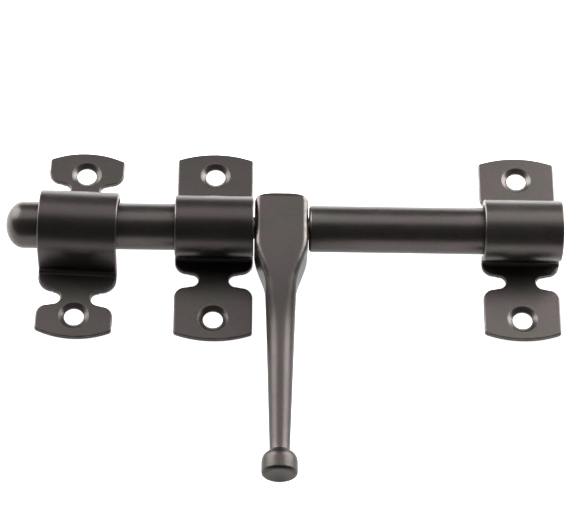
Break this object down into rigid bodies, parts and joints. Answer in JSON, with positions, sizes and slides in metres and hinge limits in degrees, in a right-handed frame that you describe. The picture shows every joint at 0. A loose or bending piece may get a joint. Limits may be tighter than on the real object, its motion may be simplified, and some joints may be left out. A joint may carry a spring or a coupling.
{
  "type": "toggle bolt latch",
  "caption": "Dark coated sliding door bolt: round nosed bar in notched strap guides, turned and thrown by a knobbed side lever, with a loose strap keeper.",
  "frame": {"origin": "centre of the bounding box in X and Y, on the plane of the straps' back faces", "axes": "+X along the bar away from its nose, +Y away from the lever at rest, +Z out from the door face"},
  "size_m": [0.151, 0.1044, 0.0198],
  "materials": {
    "front_guide": "satin dark bronze coating on bent sheet steel",
    "rear_guide": "satin dark bronze coating on bent sheet steel",
    "keeper": "satin dark bronze coating on bent sheet steel",
    "front_rod": "satin dark bronze coating on steel bar",
    "rear_rod": "satin dark bronze coating on steel bar",
    "lever": "satin dark bronze coating on a casting",
    "lever_stud": "bare turned steel, hidden in use"
  },
  "bodies": {
    "guides": {"front_guide": "front_guide", "rear_guide": "rear_guide"},
    "bolt": {"front_rod": "front_rod", "rear_rod": "rear_rod", "lever_stud": "lever_stud"},
    "lever": {"lever": "lever"},
    "keeper": {"keeper": "keeper"}
  },
  "joints": [
    {"name": "bolt_slide", "type": "slide", "parent": "guides", "child": "bolt", "axis": [1, 0, 0], "range_m": [0, 0.0475]},
    {"name": "lever_swing", "type": "hinge", "parent": "bolt", "child": "lever", "pos_m": [-0.0008, 0.02186, 0.01], "axis": [-1, 0, 0], "range_deg": [0, 187.9]},
    {"name": "keeper_lift_off", "type": "slide", "parent": "guides", "child": "keeper", "axis": [-1, 0, 0], "range_m": [0, 0.035]}
  ]
}
